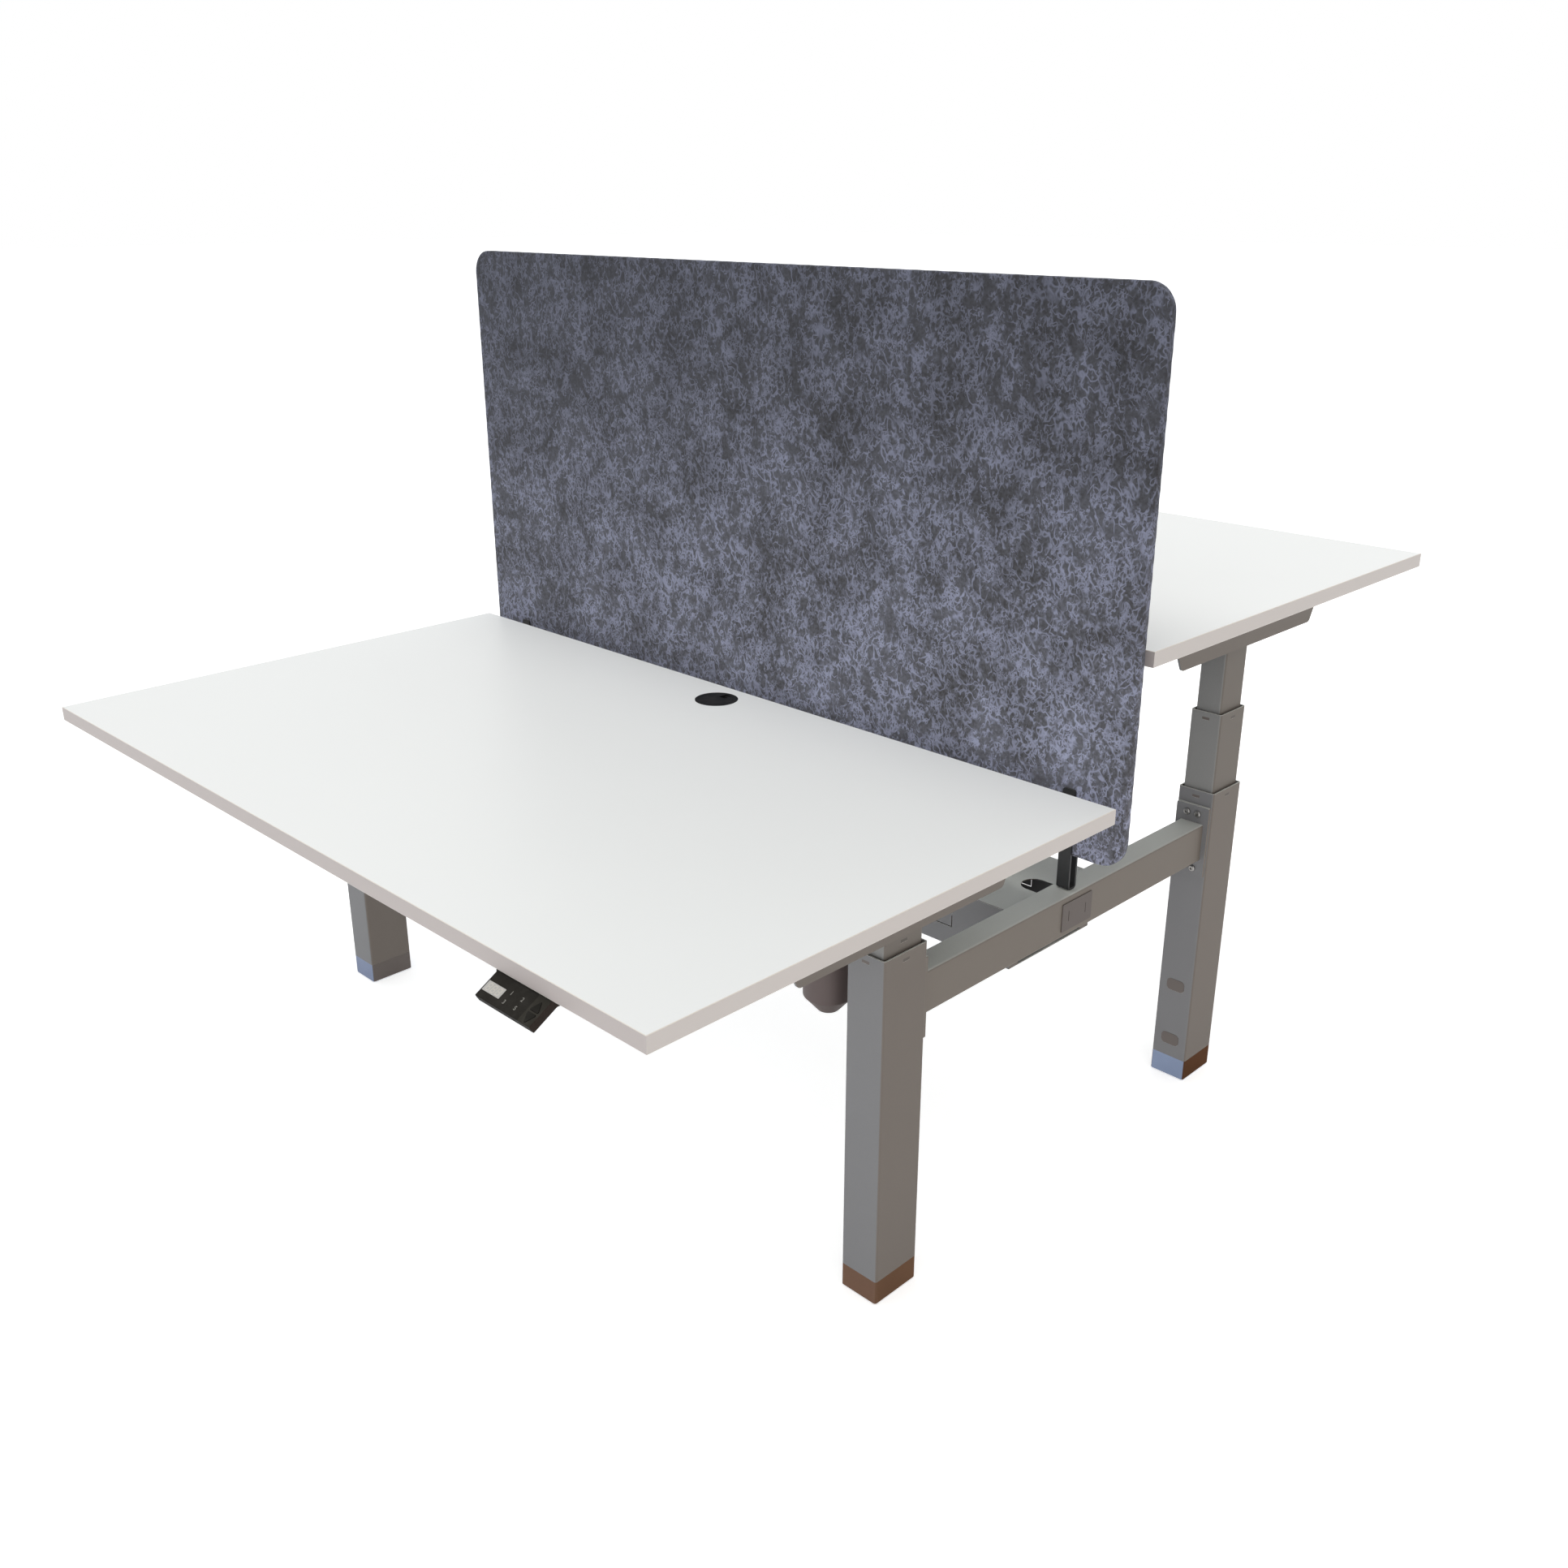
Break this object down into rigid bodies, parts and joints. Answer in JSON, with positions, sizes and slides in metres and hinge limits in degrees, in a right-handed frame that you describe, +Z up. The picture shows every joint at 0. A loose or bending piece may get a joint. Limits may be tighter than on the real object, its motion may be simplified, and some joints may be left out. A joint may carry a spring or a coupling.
{
  "type": "two-person sit-stand bench desk",
  "caption": "Back-to-back sit-stand bench: white desktops on telescopic grey columns joined by side beams and a cable tray, with a felt screen between them.",
  "frame": {"origin": "on the floor under the middle of the bench", "axes": "+Z up, +X to the right of a person at the front desk, -Y towards that person"},
  "size_m": [1.4034, 1.718, 1.2545],
  "materials": {
    "white_board": "white melamine, matt",
    "frame_paint": "silver-grey fine powder coat",
    "cover_paint": "silver-grey fine powder coat",
    "black_paint": "black fine powder coat",
    "cap_chrome": "polished",
    "bolt_chrome": "bright zinc",
    "bright_steel": "bright drawn",
    "brown_plastic": "moulded, matt",
    "motor_shell": "dark satin",
    "black_plastic": "fine moulded grain",
    "handset_plastic": "fine moulded grain",
    "display": "clear display window",
    "foot_plastic": "moulded, matt",
    "felt": "pressed polyester felt, mottled"
  },
  "bodies": {
    "frame": {"outer_tube_front_left": "frame_paint", "outer_tube_front_right": "frame_paint", "outer_tube_rear_left": "frame_paint", "outer_tube_rear_right": "frame_paint", "foot_caps": "cap_chrome", "column_plugs": "brown_plastic", "outer_glides": "brown_plastic", "side_beams": "frame_paint", "frame_bolts": "bolt_chrome", "beam_covers": "cover_paint", "screen_brackets": "black_paint", "screen_panel": "felt", "cable_tray": "frame_paint", "tray_lid": "frame_paint"},
    "front_middle": {"front_middle_tube_left": "frame_paint", "front_middle_tube_right": "frame_paint", "front_middle_glides": "brown_plastic"},
    "front_desk": {"front_desktop": "white_board", "front_arm_left": "frame_paint", "front_arm_right": "frame_paint", "front_cross_rails": "frame_paint", "front_inner_tube_left": "frame_paint", "front_inner_tube_right": "frame_paint", "front_gear_motor": "motor_shell", "front_control_box": "black_plastic", "front_handset_case": "handset_plastic", "front_handset_window": "display", "front_grommet_ring": "black_plastic", "front_top_screws": "bolt_chrome"},
    "front_up_key": {"front_up_key": "handset_plastic"},
    "front_down_key": {"front_down_key": "handset_plastic"},
    "front_grommet_lid": {"front_grommet_lid": "black_plastic"},
    "front_drive_shaft": {"front_drive_shaft": "bright_steel"},
    "front_spindle_left": {"front_spindle_left": "bright_steel"},
    "front_spindle_right": {"front_spindle_right": "bright_steel"},
    "rear_middle": {"rear_middle_tube_left": "frame_paint", "rear_middle_tube_right": "frame_paint", "rear_middle_glides": "brown_plastic"},
    "rear_desk": {"rear_desktop": "white_board", "rear_arm_left": "frame_paint", "rear_arm_right": "frame_paint", "rear_cross_rails": "frame_paint", "rear_inner_tube_left": "frame_paint", "rear_inner_tube_right": "frame_paint", "rear_gear_motor": "motor_shell", "rear_control_box": "black_plastic", "rear_handset_case": "handset_plastic", "rear_handset_window": "display", "rear_grommet_ring": "black_plastic", "rear_top_screws": "bolt_chrome"},
    "rear_up_key": {"rear_up_key": "handset_plastic"},
    "rear_down_key": {"rear_down_key": "handset_plastic"},
    "rear_grommet_lid": {"rear_grommet_lid": "black_plastic"},
    "rear_drive_shaft": {"rear_drive_shaft": "bright_steel"},
    "rear_spindle_left": {"rear_spindle_left": "bright_steel"},
    "rear_spindle_right": {"rear_spindle_right": "bright_steel"},
    "levelling_foot_front_left": {"levelling_foot_front_left": "foot_plastic"},
    "levelling_foot_front_right": {"levelling_foot_front_right": "foot_plastic"},
    "levelling_foot_rear_left": {"levelling_foot_rear_left": "foot_plastic"},
    "levelling_foot_rear_right": {"levelling_foot_rear_right": "foot_plastic"}
  },
  "joints": [
    {"name": "front_lift", "type": "slide", "parent": "frame", "child": "front_desk", "axis": [0, 0, 1], "range_m": [0, 0.65]},
    {"name": "front_middle_slide", "type": "slide", "parent": "frame", "child": "front_middle", "axis": [0, 0, 1], "range_m": [0, 0.325]},
    {"name": "front_spindle_left_turn", "type": "hinge", "parent": "front_desk", "child": "front_spindle_left", "pos_m": [-0.6126, -0.3768, 0.3], "axis": [0, 0, 1], "continuous": true},
    {"name": "front_spindle_right_turn", "type": "hinge", "parent": "front_desk", "child": "front_spindle_right", "pos_m": [0.6126, -0.3768, 0.3], "axis": [0, 0, 1], "continuous": true},
    {"name": "front_shaft_turn", "type": "hinge", "parent": "front_desk", "child": "front_drive_shaft", "pos_m": [0, -0.3768, 0.559], "axis": [1, 0, 0], "continuous": true},
    {"name": "front_up_key_press", "type": "slide", "parent": "front_desk", "child": "front_up_key", "axis": [0, 0.5006, -0.8657], "range_m": [0, 0.0008], "stiffness_N_per_m": 2000},
    {"name": "front_down_key_press", "type": "slide", "parent": "front_desk", "child": "front_down_key", "axis": [0, 0.5006, -0.8657], "range_m": [0, 0.0008], "stiffness_N_per_m": 2000},
    {"name": "front_grommet_turn", "type": "hinge", "parent": "front_desk", "child": "front_grommet_lid", "pos_m": [-0.0053, -0.0844, 0.602], "axis": [0, 0, 1], "continuous": true},
    {"name": "rear_lift", "type": "slide", "parent": "frame", "child": "rear_desk", "axis": [0, 0, 1], "range_m": [-0.2, 0.45]},
    {"name": "rear_middle_slide", "type": "slide", "parent": "frame", "child": "rear_middle", "axis": [0, 0, 1], "range_m": [-0.1, 0.225]},
    {"name": "rear_spindle_left_turn", "type": "hinge", "parent": "rear_desk", "child": "rear_spindle_left", "pos_m": [-0.6126, 0.3768, 0.5], "axis": [0, 0, 1], "continuous": true},
    {"name": "rear_spindle_right_turn", "type": "hinge", "parent": "rear_desk", "child": "rear_spindle_right", "pos_m": [0.6126, 0.3768, 0.5], "axis": [0, 0, 1], "continuous": true},
    {"name": "rear_shaft_turn", "type": "hinge", "parent": "rear_desk", "child": "rear_drive_shaft", "pos_m": [0, 0.3768, 0.759], "axis": [1, 0, 0], "continuous": true},
    {"name": "rear_up_key_press", "type": "slide", "parent": "rear_desk", "child": "rear_up_key", "axis": [0, -0.5006, -0.8657], "range_m": [0, 0.0008], "stiffness_N_per_m": 2000},
    {"name": "rear_down_key_press", "type": "slide", "parent": "rear_desk", "child": "rear_down_key", "axis": [0, -0.5006, -0.8657], "range_m": [0, 0.0008], "stiffness_N_per_m": 2000},
    {"name": "rear_grommet_turn", "type": "hinge", "parent": "rear_desk", "child": "rear_grommet_lid", "pos_m": [0.0053, 0.0844, 0.802], "axis": [0, 0, 1], "continuous": true},
    {"name": "front_left_foot_screw", "type": "slide", "parent": "frame", "child": "levelling_foot_front_left", "axis": [0, 0, -1], "range_m": [0, 0.012]},
    {"name": "front_right_foot_screw", "type": "slide", "parent": "frame", "child": "levelling_foot_front_right", "axis": [0, 0, -1], "range_m": [0, 0.012]},
    {"name": "rear_left_foot_screw", "type": "slide", "parent": "frame", "child": "levelling_foot_rear_left", "axis": [0, 0, -1], "range_m": [0, 0.012]},
    {"name": "rear_right_foot_screw", "type": "slide", "parent": "frame", "child": "levelling_foot_rear_right", "axis": [0, 0, -1], "range_m": [0, 0.012]}
  ],
  "couplings": [
    {"joint": "front_middle_slide", "follows": "front_lift", "ratio": 0.5},
    {"joint": "front_spindle_left_turn", "follows": "front_lift", "rad_per_m": 392.7},
    {"joint": "front_spindle_right_turn", "follows": "front_lift", "rad_per_m": 392.7},
    {"joint": "front_shaft_turn", "follows": "front_lift", "rad_per_m": 392.7},
    {"joint": "rear_middle_slide", "follows": "rear_lift", "ratio": 0.5},
    {"joint": "rear_spindle_left_turn", "follows": "rear_lift", "rad_per_m": 392.7},
    {"joint": "rear_spindle_right_turn", "follows": "rear_lift", "rad_per_m": 392.7},
    {"joint": "rear_shaft_turn", "follows": "rear_lift", "rad_per_m": 392.7}
  ]
}
